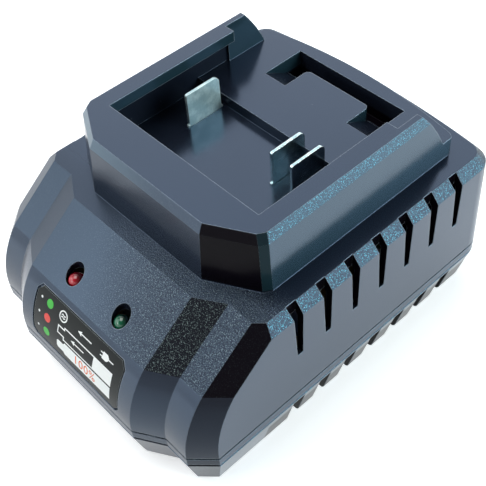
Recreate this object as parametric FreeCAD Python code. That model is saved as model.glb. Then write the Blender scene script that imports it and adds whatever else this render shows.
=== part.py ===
import FreeCAD, Part
import math
import os

# Slide-pack battery charger, millimetres, +Z up.
# Sizes are measured from the front face at y = 0; the battery slides in from +Y.
# The finished solids are moved so that the origin lies on the table under the middle of the body.

V = FreeCAD.Vector
X_AXIS = V(1, 0, 0)
Y_AXIS = V(0, 1, 0)
Z_AXIS = V(0, 0, 1)

# Outline of the body, seen from above
body_half_width = 49.5
front_half_width = 26.0
step_run = 8.6
step_depth = 5.2
corner_start_x = 43.2
rear_y = 128.8
rear_sag = 2.8
rear_sag_half_width = 41.0
rear_corner_radius = 8.5

# Levels
foot_height = 1.2
pan_depth = 17.1
parting_z = foot_height + pan_depth
arc_height = 21.1
arc_turn_deg = 42.0
slope_run = 18.4
slope_rise = 14.1
plateau_z = parting_z + arc_height + slope_rise
side_draft = 0.65
facet_width = 2.95
facet_height = 3.2

# Walls and general clearances
wall = 2.2
slip = 0.15
glue_gap = 0.05
overcut = 5.0
long_overcut = 20.0
short_overcut = 1.0
lap = 0.5

# Parting groove and lower housing
groove_height = 0.8
groove_depth = 1.0
band_height = 3.3
band_groove_height = 0.4
band_groove_depth = 0.6
pan_chamfer = 0.5
pan_inset = 3.3
pan_edge = 0.8

# Side vents
vent_count = 7
vent_first_y = 42.9
vent_pitch = 10.8
vent_top_width = 3.75
vent_foot_width = 2.1
vent_foot_above_parting = 16.5
vent_depth = 3.75
vent_overcut = 6.0
notch_first_y = 42.0
notch_width = 4.6
notch_reach = 5.2
notch_skin = 0.6

# Raised dock
dock_height = 18.9
dock_half_width = 36.6
dock_front_y = 35.2
dock_front_half_width = 22.7
dock_corner_run_y = 7.7
dock_bevel = 1.5
dock_bevel_height = 2.8
dock_flare = 3.1
dock_corner_trim = 1.6
dock_rear_y = 120.2
dock_rear_sag = 3.4
dock_rear_sag_half_width = 35.0
dock_rear_corner = 3.5
ramp_top_y = 103.4
ramp_foot_y = 111.2
ramp_bulge = 0.5

# Battery bay in the dock
floor_above_plateau = 1.7
deck_above_floor = 3.8
bay_front_y = 47.1
lip_half_gap = 30.9
lip_thickness = 3.7
lip_end_y = 95.8
groove_half_width = 35.6
rail_half_gap = 34.7
riser_y = 83.1
rim_hollow_wall = 2.4

# Latch recess in the deck
latch_half_width = 21.7
latch_front_y = 99.0
latch_rear_y = 114.8
latch_depth = 9.0
latch_ramp_drop = 5.5
tongue_half_width = 12.8
tongue_rear_y = 109.2
tongue_corner_radius = 1.8

# Contacts
blade_thickness = 0.9
blade_width = 12.8
blade_height = 12.0
blade_rear_radius = 2.0
blade_front_radius = 0.6
blade_shoulder = 0.6
blade_shoulder_height = 0.7
blade_centre_y = 75.1
blade_tail_width = 9.0
blade_tab_width = 2.4
blade_tab_length = 4.0
blade_tail_reach = 1.0
negative_x = -23.6
sense_x = 12.6
positive_x = 20.4
contact_block_height = 7.0
contact_block_margin = 3.0
contact_block_chamfer = 0.8
contact_window_width = 16.0
contact_web = 2.5

# Lamps
lamp_x = 10.6
lamp_y = 13.4
lamp_hole_radius = 3.0
lamp_radius = 2.5
lamp_body_height = 6.1
lamp_flange_radius = 2.85
lamp_flange_height = 1.0
lamp_top_above_parting = 24.6
spacer_radius = 3.2
spacer_bore_radius = 1.6
lamp_lead_spacing = 2.54
lamp_lead_width = 0.5

# Legend panel on the front
panel_half_width = 20.6
panel_foot_above_parting = 2.2
panel_top_above_parting = 19.6
panel_corner = 1.7
panel_edge_gap = 0.5
panel_thickness = 0.4
panel_set_back = 0.15

# Case screws and bosses
pillar_x = 37.6
pillar_front_y = 20.5
pillar_rear_y = 106.0
pillar_radius = 4.2
screw_shank_radius = 1.45
screw_head_radius = 2.8
screw_head_height = 2.0
screw_bite = 10.0
screw_seat_below_parting = 6.0
boss_radius = 3.6
screw_head_round_share = 0.45
screw_tip_share = 0.6
cross_reach_share = 0.6
cross_depth_share = 0.5
cross_width = 0.7

# Rubber feet
foot_radius = 5.0
foot_recess = 1.0
foot_x = 34.0
foot_front_y = 35.0
foot_rear_y = 93.0
foot_edge = 0.5

# Circuit board
board_half_width = 41.0
board_front_y = 9.8
board_rear_y = 108.5
board_thickness = 1.6
board_notch_gap = 0.6
standoff_height = 5.0
standoff_radius = 3.0
standoff_x = 37.0
standoff_front_y = 38.0
standoff_rear_y = 90.0
board_screw_radius = 1.2
board_screw_length = 6.0
board_screw_head_radius = 2.3
board_screw_head_height = 1.6

# Transformer
core_width = 30.0
core_depth = 11.0
core_height = 26.0
core_leg = 5.0
core_yoke = 5.0
core_post_radius = 4.5
bobbin_width = 18.0
bobbin_depth = 24.0
bobbin_flange = 1.2
winding_margin = 1.4
transformer_y = 52.0

# Other components on the board
bulk_radius = 9.0
bulk_height = 30.0
bulk_x = 24.0
bulk_y = 64.0
output_cap_radius = 5.0
output_cap_height = 16.0
output_cap_x = 26.0
output_cap_y = 40.0
can_groove_height = 3.0
can_groove_radius = 0.8
can_groove_set_out = 0.35
can_rim = 1.4
can_dish = 0.4
fuse_radius = 2.6
fuse_length = 20.0
fuse_cap_length = 5.0
fuse_cap_wall = 0.3
fuse_x = 22.0
fuse_y = 98.0
varistor_radius = 5.0
varistor_thickness = 4.0
varistor_x = 0.0
varistor_y = 92.0
varistor_stand = 2.0
varistor_lead_radius = 0.4
varistor_lead_spacing = 5.0
filter_cap_length = 18.0
filter_cap_width = 8.0
filter_cap_height = 14.0
filter_cap_edge = 0.8
filter_cap_x = -24.0
filter_cap_y = 98.0
choke_length = 17.0
choke_width = 14.0
choke_height = 16.0
choke_base = 2.0
choke_base_gap = 1.5
choke_bobbin_gap = 1.6
choke_core_share = 0.55
choke_x = -24.0
choke_y = 82.0
bridge_length = 15.0
bridge_thickness = 4.0
bridge_height = 11.0
bridge_stand = 2.0
bridge_lead_pitch = 3.8
bridge_lead_width = 1.0
bridge_lead_thickness = 0.8
bridge_x = 22.0
bridge_y = 82.0
sink_length = 30.0
sink_height = 24.0
sink_plate = 2.0
sink_fin_depth = 5.0
sink_fin_count = 6
sink_fin = 1.4
sink_x = -29.5
sink_y = 56.5
package_width = 10.0
package_height = 15.0
package_thickness = 4.4
package_tab_thickness = 1.3
package_lead = 3.0
package_hole_radius = 1.8
package_hole_drop = 3.0
package_tab_reach = 6.0
package_lead_pitch = 2.54
package_lead_width = 0.8
package_lead_face = 1.9
package_lead_thickness = 0.6
optocoupler_length = 9.0
optocoupler_width = 6.4
optocoupler_height = 3.8
optocoupler_x = 8.0
optocoupler_y = 30.0
chip_length = 10.0
chip_width = 4.0
chip_height = 1.7
chip_stand = 0.3
chip_leg_width = 0.6
chip_leg_reach = 1.0
chip_leg_height = 0.6
chip_x = -8.0
chip_y = 28.0
wire_radius = 0.9
wire_header_y = 72.0
wire_header_share = 0.55
mains_wire_margin = 4.0

# Mains inlet, a two-pin figure-eight socket clamped between the housings
inlet_width = 21.0
inlet_height = 12.0
inlet_depth = 15.0
inlet_mouth_width = 17.0
inlet_mouth_height = 8.6
inlet_mouth_depth = 11.0
inlet_pin_radius = 1.2
inlet_pin_spacing = 8.6
inlet_pin_length = 9.0
inlet_tail_radius = 1.0
inlet_tail_length = 3.0
inlet_tail_room = 3.2
inlet_cradle_wall = 2.0
inlet_set_back = 1.0
inlet_body_edge = 1.0
inlet_waist_share = 0.82
inlet_pin_tip_share = 0.4

# Derived places
deck_z = plateau_z + floor_above_plateau + deck_above_floor
floor_z = plateau_z + floor_above_plateau
dock_top_z = plateau_z + dock_height
base_z = foot_height
board_z = base_z + wall + standoff_height
board_top_z = board_z + board_thickness
ceiling_z = plateau_z - wall
step_turn = math.tan(math.atan2(step_depth, step_run) / 2.0)
corner_turn = math.tan(math.radians(22.5))
arc_radius = arc_height / math.sin(math.radians(arc_turn_deg))
vent_inner_x = body_half_width - vent_depth
thread_gap = slip / 3.0
front_reach = rear_y + 40.0
origin_y = rear_y / 2.0


def box(x0, x1, y0, y1, z0, z1):
    return Part.makeBox(x1 - x0, y1 - y0, z1 - z0, V(x0, y0, z0))


def cylinder(radius, height, x, y, z, axis=Z_AXIS):
    return Part.makeCylinder(radius, height, V(x, y, z), axis)


def join(shapes):
    first = shapes[0]
    if len(shapes) == 1:
        return first
    return first.multiFuse(shapes[1:]).removeSplitter()


def prism(points, direction):
    corners = [V(*p) for p in points]
    face = Part.Face(Part.makePolygon(corners + [corners[0]]))
    return face.extrude(direction)


def both_sides(shape):
    return [shape, shape.mirror(V(0, 0, 0), X_AXIS)]


def rear_curve(half_width, mid_y, sag, sag_half_width, corner, z):
    """Right-hand rear corner and bowed rear edge: side tangent, corner middle, rear tangent, rear middle."""
    radius = (sag_half_width ** 2 + sag ** 2) / (2.0 * sag)
    centre_y = mid_y - radius
    corner_x = half_width - corner
    corner_y = centre_y + math.sqrt((radius - corner) ** 2 - corner_x ** 2)
    grow = radius / (radius - corner)
    rear_angle = math.atan2(corner_y - centre_y, corner_x)
    side = V(half_width, corner_y, z)
    half_angle = rear_angle / 2.0
    middle = V(corner_x + corner * math.cos(half_angle), corner_y + corner * math.sin(half_angle), z)
    rear = V(corner_x * grow, centre_y + (corner_y - centre_y) * grow, z)
    return side, middle, rear, V(0, mid_y, z)


def flip(point):
    return V(-point.x, point.y, point.z)


def closed_outline(front_points, rear):
    """Front points run left to right; the rear is the right-hand curve from rear_curve."""
    side, middle, tangent, mid = rear
    edges = []
    for start, end in zip(front_points[:-1], front_points[1:]):
        edges.append(Part.LineSegment(start, end).toShape())
    edges.append(Part.LineSegment(front_points[-1], side).toShape())
    edges.append(Part.Arc(side, middle, tangent).toShape())
    edges.append(Part.Arc(tangent, mid, flip(tangent)).toShape())
    edges.append(Part.Arc(flip(tangent), flip(middle), flip(side)).toShape())
    edges.append(Part.LineSegment(flip(side), front_points[0]).toShape())
    return Part.Wire(edges)


def front_line(inset):
    """Right half of the stepped front, as (x, y) corners, moved inward by the inset."""
    return [
        (front_half_width - step_turn * inset, inset),
        (front_half_width + step_run - step_turn * inset, step_depth + inset),
        (corner_start_x - corner_turn * inset, step_depth + inset),
    ]


def body_rear(inset, z):
    return rear_curve(body_half_width - inset, rear_y - inset, rear_sag, rear_sag_half_width,
                      rear_corner_radius - inset, z)


def body_outline(inset, z):
    """Whole outline of the body at the parting line, moved inward by the inset."""
    right = front_line(inset)
    side_start = step_depth + body_half_width - corner_start_x + corner_turn * inset
    right.append((body_half_width - inset, side_start))
    points = [V(x, y, z) for x, y in right]
    return closed_outline([flip(p) for p in reversed(points)] + points, body_rear(inset, z))


def outline_prism(inset, z0, z1):
    return Part.Face(body_outline(inset, z0)).extrude(V(0, 0, z1 - z0))


def outline_loft(levels):
    """Ruled solid through body outlines given as (inset, z)."""
    return Part.makeLoft([body_outline(inset, z) for inset, z in levels], True, True)


def front_profile(inset):
    """Side view of the front wall: upright, arc, slope and plateau, closed far behind the body."""
    z0 = parting_z - 2.0
    turn = math.radians(arc_turn_deg)
    radius = arc_radius - inset
    slope = math.atan2(slope_rise, slope_run)
    top = plateau_z - inset
    foot = V(0, inset, z0)
    start = V(0, inset, parting_z)
    half = V(0, arc_radius - radius * math.cos(turn / 2.0), parting_z + radius * math.sin(turn / 2.0))
    end = V(0, arc_radius - radius * math.cos(turn), parting_z + radius * math.sin(turn))
    brow = V(0, end.y + (top - end.z) / math.tan(slope), top)
    back_top = V(0, front_reach, top)
    back_foot = V(0, front_reach, z0)
    edges = [
        Part.LineSegment(foot, start).toShape(),
        Part.Arc(start, half, end).toShape(),
        Part.LineSegment(end, brow).toShape(),
        Part.LineSegment(brow, back_top).toShape(),
        Part.LineSegment(back_top, back_foot).toShape(),
        Part.LineSegment(back_foot, foot).toShape(),
    ]
    return Part.Face(Part.Wire(edges))


def front_sweep(inset):
    """Front wall profile carried along the stepped front, with the corner run past the side."""
    face = front_profile(inset)
    right = front_line(inset)
    last_x, last_y = right[-1]
    run_past = body_half_width + 6.0 - last_x
    right.append((last_x + run_past, last_y + run_past))
    middle = face.translated(V(-right[0][0], 0, 0)).extrude(V(2.0 * right[0][0], 0, 0))
    pieces = [middle]
    for (x0, y0), (x1, y1) in zip(right[:-1], right[1:]):
        run = face.translated(V(x0, y0 - inset, 0)).extrude(V(x1 - x0, y1 - y0, 0))
        pieces.extend(both_sides(run))
    return join(pieces)


def side_outline(inset, z, trim):
    """Sides and rear at one level; the front is left long because the sweep trims it."""
    total = inset + trim
    half = body_half_width - total
    rear = rear_curve(half, rear_y - total, rear_sag, rear_sag_half_width, rear_corner_radius - total, z)
    return closed_outline([V(-half, -10.0, z), V(half, -10.0, z)], rear)


def upper_form(inset, z0):
    """Closed form of the upper body, moved inward by the inset."""
    top = plateau_z - inset
    levels = [
        side_outline(inset, z0, 0.0),
        side_outline(inset, plateau_z - facet_height - inset, side_draft),
        side_outline(inset, top, side_draft + facet_width),
    ]
    sides = Part.makeLoft(levels, True, True)
    return sides.common(front_sweep(inset))


def dock_outline(offset, z):
    """Dock outline, moved outward by the offset, with its small corner trim."""
    corner = math.atan2(dock_corner_run_y, dock_half_width - dock_front_half_width)
    front_x = dock_front_half_width + math.tan(corner / 2.0) * offset
    side_x = dock_half_width + offset
    side_y = dock_front_y + dock_corner_run_y - math.tan((math.pi / 2.0 - corner) / 2.0) * offset
    trim_x = side_x - dock_corner_trim * math.cos(corner)
    trim_y = side_y - dock_corner_trim * math.sin(corner)
    right = [
        V(front_x, dock_front_y - offset, z),
        V(trim_x, trim_y, z),
        V(side_x, side_y + dock_corner_trim, z),
        V(side_x, rear_y, z),
    ]
    points = [flip(p) for p in reversed(right)] + right
    return Part.makePolygon(points + [points[0]])


def behind_ramp(reach):
    """Space above the deck behind the rail ends, whose rear faces are slightly convex ramps."""
    top = V(-reach, ramp_top_y, dock_top_z)
    foot = V(-reach, ramp_foot_y, deck_z)
    outward = V(0, dock_top_z - deck_z, ramp_foot_y - ramp_top_y).normalize()
    lean = (ramp_foot_y - ramp_top_y) / (dock_top_z - deck_z)
    corners = [
        top,
        V(-reach, ramp_top_y - lean * overcut, dock_top_z + overcut),
        V(-reach, rear_y + long_overcut, dock_top_z + overcut),
        V(-reach, rear_y + long_overcut, deck_z),
        foot,
    ]
    edges = [Part.LineSegment(a, b).toShape() for a, b in zip(corners[:-1], corners[1:])]
    edges.append(Part.Arc(foot, (top + foot) * 0.5 + outward * ramp_bulge, top).toShape())
    return Part.Face(Part.Wire(edges)).extrude(V(2.0 * reach, 0, 0))


def dock_form():
    """Raised dock before the bay is cut: flared walls, bevelled top, ramped rear end, bowed rear edge."""
    root_z = plateau_z - 1.0
    walls = Part.makeLoft([
        dock_outline(dock_flare, root_z),
        dock_outline(dock_bevel, dock_top_z - dock_bevel_height),
        dock_outline(0.0, dock_top_z),
    ], True, True)
    rear = rear_curve(dock_half_width + dock_flare, dock_rear_y, dock_rear_sag, dock_rear_sag_half_width,
                      dock_rear_corner, root_z)
    half = dock_half_width + dock_flare
    plan = Part.Face(closed_outline([V(-half, 0, root_z), V(half, 0, root_z)], rear))
    walls = walls.common(plan.extrude(V(0, 0, dock_height + overcut)))
    return walls.cut(behind_ramp(half + overcut))


def bay_cutters():
    """Open bay between the lips, grooves under the lips, and the wider mouth at the rear."""
    high = dock_top_z + overcut
    past = rear_y + long_overcut
    lip_foot_z = dock_top_z - lip_thickness
    return [
        box(-lip_half_gap, lip_half_gap, bay_front_y, past, deck_z, high),
        box(-groove_half_width, groove_half_width, bay_front_y, lip_end_y, deck_z, lip_foot_z),
        box(-rail_half_gap, rail_half_gap, lip_end_y - lap, past, deck_z, high),
        box(-groove_half_width, groove_half_width, bay_front_y, riser_y, floor_z, deck_z + lap),
    ]


def latch_recess():
    """Recess that the pack's latch drops into: a deep trench round a tongue, with a ramp each side."""
    low = deck_z - latch_depth
    trench = box(-latch_half_width, latch_half_width, tongue_rear_y, latch_rear_y, low, deck_z + overcut)
    pieces = [trench]
    for side in (-1, 1):
        inner = side * tongue_half_width
        outer = side * latch_half_width
        ramp = prism([
            (inner, latch_front_y, deck_z),
            (inner, tongue_rear_y, deck_z - latch_ramp_drop),
            (inner, tongue_rear_y, deck_z + overcut),
            (inner, latch_front_y, deck_z + overcut),
        ], V(outer - inner, 0, 0))
        pieces.append(ramp)
    recess = join(pieces)
    radius = tongue_corner_radius
    for side in (-1, 1):
        x0 = side * tongue_half_width
        x1 = x0 - side * radius
        tile = box(min(x0, x1), max(x0, x1), tongue_rear_y - radius, tongue_rear_y, low, deck_z + overcut)
        post = cylinder(radius, latch_depth + 10.0, x1, tongue_rear_y - radius, low - 1.0)
        recess = recess.fuse(tile.cut(post))
    return recess


def vent_cutters():
    """Tapered side vents from the plateau edge down, one set on each side."""
    foot_z = parting_z + vent_foot_above_parting
    high = plateau_z + 2.0
    cutters = []
    for index in range(vent_count):
        y = vent_first_y + index * vent_pitch
        slot = prism([
            (vent_inner_x, y - vent_foot_width / 2.0, foot_z),
            (vent_inner_x, y + vent_foot_width / 2.0, foot_z),
            (vent_inner_x, y + vent_top_width / 2.0, high),
            (vent_inner_x, y - vent_top_width / 2.0, high),
        ], V(vent_depth + vent_overcut, 0, 0))
        cutters.extend(both_sides(slot))
    return cutters


def pillar_places():
    return [(side * pillar_x, y) for y in (pillar_front_y, pillar_rear_y) for side in (-1, 1)]


def standoff_places():
    return [(side * standoff_x, y) for y in (standoff_front_y, standoff_rear_y) for side in (-1, 1)]


def foot_places():
    return [(side * foot_x, y) for y in (foot_front_y, foot_rear_y) for side in (-1, 1)]


def panel_window(inset):
    """Chamfered window of the legend panel, as a prism through the front wall."""
    half = panel_half_width - inset
    low = parting_z + panel_foot_above_parting + inset
    high = parting_z + panel_top_above_parting - inset
    c = panel_corner
    right = [(half - c, low), (half, low + c), (half, high - c), (half - c, high)]
    outline = right + [(-x, z) for x, z in reversed(right)]
    return prism([(x, -overcut, z) for x, z in outline], V(0, arc_radius, 0))


def inlet_front_y():
    return rear_y - inlet_set_back - inlet_depth


def inlet_block(clearance):
    half_w = inlet_width / 2.0 + clearance
    half_h = inlet_height / 2.0
    return box(-half_w, half_w, inlet_front_y() - clearance, rear_y - inlet_set_back,
               parting_z - half_h, parting_z + half_h + clearance)


def inlet_cradle():
    """Block moulded behind the rear wall to hold the inlet, before its pocket is cut."""
    side = inlet_width / 2.0 + slip + inlet_cradle_wall
    tall = inlet_height / 2.0 + slip + inlet_cradle_wall
    return box(-side, side, inlet_front_y() - slip - inlet_cradle_wall, rear_y,
               parting_z - tall, parting_z + tall)


def inlet_window():
    """Opening in the rear wall in front of the inlet, and the way out for its tails inside."""
    half_w = inlet_width / 2.0 + slip
    half_h = inlet_height / 2.0
    out = box(-half_w, half_w, rear_y - inlet_set_back - lap, rear_y + overcut,
              parting_z - half_h, parting_z + half_h + slip)
    reach = inlet_pin_spacing / 2.0 + inlet_tail_room
    tails = box(-reach, reach, inlet_front_y() - long_overcut, inlet_front_y(),
                parting_z - inlet_tail_room, parting_z + inlet_tail_room)
    return out.fuse(tails)


def make_upper_housing():
    outer = upper_form(0.0, parting_z)
    inner = upper_form(wall, parting_z - 2.0)
    shell = outer.cut(inner)
    bosses = [cylinder(boss_radius, plateau_z - parting_z, x, y, parting_z) for x, y in pillar_places()]
    shell = join([shell, dock_form()] + [b.common(outer) for b in bosses])
    shell = join([shell, inlet_cradle().common(outer)])
    rim_half = dock_front_half_width
    rim_hollow = box(-rim_half, rim_half, dock_front_y + rim_hollow_wall, bay_front_y - rim_hollow_wall,
                     ceiling_z - lap, dock_top_z - rim_hollow_wall)
    deck_hollow = box(-rail_half_gap, rail_half_gap, riser_y + wall, latch_rear_y + wall,
                      ceiling_z - lap, deck_z - wall)
    shell = shell.cut(rim_hollow).cut(deck_hollow)
    latch_box = box(-latch_half_width - wall, latch_half_width + wall, latch_front_y - wall,
                    latch_rear_y + wall, deck_z - latch_depth - wall, deck_z - lap)
    shell = join([shell, latch_box])
    cutters = bay_cutters() + [latch_recess()] + vent_cutters()
    for side in (-1, 1):
        cutters.append(cylinder(lamp_hole_radius, 60.0, side * lamp_x, lamp_y, parting_z + 10.0))
    for x in (negative_x, sense_x, positive_x):
        half_t = blade_thickness / 2.0 + slip
        half_w = blade_tail_width / 2.0 + slip
        cutters.append(box(x - half_t, x + half_t, blade_centre_y - half_w, blade_centre_y + half_w,
                           ceiling_z - 5.0, floor_z + 1.0))
    for x, y in pillar_places():
        cutters.append(cylinder(screw_shank_radius + thread_gap, screw_bite + 2.0 * lap,
                                x, y, parting_z - lap))
    cutters.append(inlet_block(slip))
    cutters.append(inlet_window())
    depth = panel_set_back + panel_thickness + glue_gap
    skin = panel_window(0.0).cut(front_sweep(depth))
    cutters.append(skin)
    return shell.cut(cutters).removeSplitter()


def make_lower_housing():
    band_z = parting_z - band_height
    pan_z = band_z - band_groove_height
    foot_z = base_z + pan_edge
    slope_inset = pan_inset
    outer = join([
        outline_prism(0.0, band_z, parting_z),
        outline_prism(band_groove_depth, pan_z - 0.2, band_z + 0.2),
        outline_loft([(pan_chamfer, pan_z), (0.0, pan_z - pan_chamfer),
                      (slope_inset, foot_z), (slope_inset + pan_edge, base_z)]),
    ])
    inner = outline_loft([(wall, parting_z + 1.0), (wall, band_z), (slope_inset + wall, base_z + wall)])
    shell = outer.cut(inner)
    groove = outline_prism(-1.0, parting_z - groove_height, parting_z + 1.0)
    groove = groove.cut(outline_prism(groove_depth, parting_z - groove_height - 1.0, parting_z + 2.0))
    shell = shell.cut(groove)
    posts = [cylinder(pillar_radius, pan_depth, x, y, base_z) for x, y in pillar_places()]
    posts += [cylinder(standoff_radius, wall + standoff_height, x, y, base_z) for x, y in standoff_places()]
    cradle = inlet_cradle().common(outer)
    shell = join([shell] + posts + [cradle])
    cutters = []
    seat_z = parting_z - screw_seat_below_parting
    for x, y in pillar_places():
        cutters.append(cylinder(screw_head_radius + slip, seat_z + 1.0, x, y, -1.0))
        cutters.append(cylinder(screw_shank_radius + slip, pan_depth + overcut, x, y, 0.0))
    for x, y in standoff_places():
        cutters.append(cylinder(board_screw_radius + thread_gap, board_screw_length, x, y,
                                board_top_z - board_screw_length - lap))
    for x, y in foot_places():
        cutters.append(cylinder(foot_radius + slip, foot_recess + short_overcut,
                                x, y, base_z - short_overcut))
    for index in range(vent_count):
        y = notch_first_y + index * vent_pitch
        notch = box(body_half_width - slope_inset - notch_reach, body_half_width + overcut,
                    y - notch_width / 2.0, y + notch_width / 2.0, -1.0, pan_z - pan_chamfer - notch_skin)
        cutters.extend(both_sides(notch))
    cutters.append(inlet_block(slip))
    cutters.append(inlet_window())
    return shell.cut(cutters).removeSplitter()


def make_legend_panel():
    outer = front_sweep(panel_set_back)
    inner = front_sweep(panel_set_back + panel_thickness)
    return panel_window(panel_edge_gap).common(outer).cut(inner)


def blade(x):
    """Contact blade: rounded top, shoulders on the bay floor, tail through the floor, solder tab."""
    half = blade_width / 2.0
    tail = blade_tail_width / 2.0
    tab = blade_tab_width / 2.0
    top = floor_z + blade_height
    shoulder_z = floor_z + blade_shoulder_height
    tail_z = ceiling_z - contact_block_height - blade_tail_reach
    y = blade_centre_y
    plate = prism([
        (x - blade_thickness / 2.0, y - half, floor_z), (x - blade_thickness / 2.0, y + half, floor_z),
        (x - blade_thickness / 2.0, y + half, top), (x - blade_thickness / 2.0, y - half, top),
    ], V(blade_thickness, 0, 0))
    for edge_y, radius in ((y + half, blade_rear_radius), (y - half, blade_front_radius)):
        corner = [e for e in plate.Edges if abs(e.CenterOfMass.z - top) < 0.01
                  and abs(e.CenterOfMass.y - edge_y) < 0.01]
        plate = plate.makeFillet(radius, corner)
    x0 = x - blade_thickness / 2.0
    x1 = x + blade_thickness / 2.0
    shoulder = box(x0, x1, y - half - blade_shoulder, y + half + blade_shoulder, floor_z, shoulder_z)
    stem = box(x0, x1, y - tail, y + tail, tail_z, floor_z + lap)
    solder_tab = box(x0, x1, y - tab, y + tab, tail_z - blade_tab_length, tail_z + lap)
    return join([plate, shoulder, stem, solder_tab])


def make_contact_block():
    half_w = blade_width / 2.0 + contact_block_margin
    top = ceiling_z
    block = box(negative_x - contact_block_margin, positive_x + contact_block_margin,
                blade_centre_y - half_w, blade_centre_y + half_w, top - contact_block_height, top)
    upright = [e for e in block.Edges if abs(e.tangentAt(e.FirstParameter).z) > 0.9]
    block = block.makeChamfer(contact_block_chamfer, upright)
    for x in (negative_x, sense_x, positive_x):
        half_t = blade_thickness / 2.0 + glue_gap
        tail = blade_tail_width / 2.0 + glue_gap
        block = block.cut(box(x - half_t, x + half_t, blade_centre_y - tail, blade_centre_y + tail,
                              top - contact_block_height - short_overcut, top + short_overcut))
    x = (negative_x + sense_x) / 2.0
    half_window = contact_window_width / 2.0
    window = box(x - half_window, x + half_window,
                 blade_centre_y - half_w + contact_web, blade_centre_y + half_w - contact_web,
                 top - contact_block_height - short_overcut, top - contact_web)
    return block.cut(window)


def make_lamp(side):
    """Five-millimetre lamp: dome, body, flange and two leads down to the board."""
    x = side * lamp_x
    top = parting_z + lamp_top_above_parting
    barrel_z = top - lamp_radius
    flange_z = barrel_z - lamp_body_height
    body = cylinder(lamp_radius, lamp_body_height, x, lamp_y, flange_z)
    dome = Part.makeSphere(lamp_radius, V(x, lamp_y, barrel_z))
    flange = cylinder(lamp_flange_radius, lamp_flange_height, x, lamp_y, flange_z)
    pieces = [body, dome, flange]
    for lead in (-1, 1):
        lead_x = x + lead * lamp_lead_spacing / 2.0
        half = lamp_lead_width / 2.0
        pieces.append(box(lead_x - half, lead_x + half, lamp_y - half, lamp_y + half,
                          board_top_z, flange_z + lap))
    return join(pieces)


def make_lamp_spacers():
    top = parting_z + lamp_top_above_parting - lamp_radius - lamp_body_height
    solids = []
    for side in (-1, 1):
        x = side * lamp_x
        tube = cylinder(spacer_radius, top - board_top_z, x, lamp_y, board_top_z)
        bore = cylinder(spacer_bore_radius, top - board_top_z + 2.0 * short_overcut, x, lamp_y,
                        board_top_z - short_overcut)
        solids.append(tube.cut(bore))
    return Part.makeCompound(solids)


def make_circuit_board():
    board = box(-board_half_width, board_half_width, board_front_y, board_rear_y, board_z, board_top_z)
    for x, y in pillar_places():
        radius = pillar_radius + board_notch_gap
        notch = cylinder(radius, board_thickness + 2.0 * overcut, x, y, board_z - overcut)
        outside = box(min(x, 3.0 * x), max(x, 3.0 * x), y - radius, y + radius,
                      board_z - overcut, board_top_z + overcut)
        board = board.cut(notch).cut(outside)
    for x, y in standoff_places():
        board = board.cut(cylinder(board_screw_radius + slip, board_thickness + 2.0 * overcut,
                                   x, y, board_z - overcut))
    return board


def make_transformer_core():
    """Ferrite core: two outer legs, a centre leg and two yokes round the bobbin."""
    half_w = core_width / 2.0
    half_d = core_depth / 2.0
    z0 = board_top_z + bobbin_flange
    outer = box(-half_w, half_w, transformer_y - half_d, transformer_y + half_d, z0, z0 + core_height)
    window = box(-half_w + core_leg, half_w - core_leg, transformer_y - half_d - short_overcut,
                 transformer_y + half_d + short_overcut, z0 + core_yoke, z0 + core_height - core_yoke)
    centre = cylinder(core_post_radius, core_height - core_yoke, 0.0, transformer_y, z0 + core_yoke / 2.0)
    return join([outer.cut(window), centre])


def make_transformer_bobbin():
    """Bobbin: base with feet on the board, two flanges and a tube round the centre leg."""
    z0 = board_top_z
    low = z0 + bobbin_flange + core_yoke
    high = z0 + bobbin_flange + core_height - core_yoke
    half_w = bobbin_width / 2.0
    half_d = bobbin_depth / 2.0
    bore = core_post_radius + glue_gap
    tube = cylinder(bore + bobbin_flange, high - low, 0.0, transformer_y, low)
    flanges = [
        box(-half_w, half_w, transformer_y - half_d, transformer_y + half_d, low, low + bobbin_flange),
        box(-half_w, half_w, transformer_y - half_d, transformer_y + half_d, high - bobbin_flange, high),
    ]
    for side in (-1, 1):
        near = transformer_y + side * (core_depth / 2.0 + 1.0)
        far = transformer_y + side * half_d
        flanges.append(box(-half_w, half_w, min(near, far), max(near, far), z0, low + lap))
    frame = join([tube] + flanges)
    return frame.cut(cylinder(bore, core_height, 0.0, transformer_y, z0 + bobbin_flange))


def make_transformer_winding():
    low = board_top_z + 2.0 * bobbin_flange + core_yoke
    high = board_top_z + core_height - core_yoke
    inner = core_post_radius + glue_gap + bobbin_flange
    outer = core_width / 2.0 - core_leg - winding_margin
    ring = cylinder(outer, high - low, 0.0, transformer_y, low)
    return ring.cut(cylinder(inner, high - low + 2.0 * short_overcut,
                             0.0, transformer_y, low - short_overcut))


def capacitor(radius, height, x, y):
    """Upright can with a rolled groove near its foot and a dished top."""
    can = cylinder(radius, height, x, y, board_top_z)
    ring = Part.makeTorus(radius + can_groove_set_out, can_groove_radius,
                          V(x, y, board_top_z + can_groove_height))
    dish = cylinder(radius - can_rim, short_overcut, x, y, board_top_z + height - can_dish)
    return can.cut(ring).cut(dish)


def make_mains_fuse():
    z = board_top_z + fuse_radius
    x0 = fuse_x - fuse_length / 2.0
    tube = cylinder(fuse_radius - fuse_cap_wall, fuse_length, x0, fuse_y, z, X_AXIS)
    caps = [
        cylinder(fuse_radius, fuse_cap_length, x0, fuse_y, z, X_AXIS),
        cylinder(fuse_radius, fuse_cap_length, x0 + fuse_length - fuse_cap_length, fuse_y, z, X_AXIS),
    ]
    return join([tube] + caps)


def make_varistor():
    z = board_top_z + varistor_radius + varistor_stand
    y0 = varistor_y - varistor_thickness / 2.0
    disc = cylinder(varistor_radius, varistor_thickness, varistor_x, y0, z, Y_AXIS)
    reach = varistor_lead_spacing / 2.0
    leads = [cylinder(varistor_lead_radius, z - board_top_z - short_overcut,
                      varistor_x + side * reach, varistor_y, board_top_z) for side in (-1, 1)]
    return join([disc] + leads)


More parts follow.
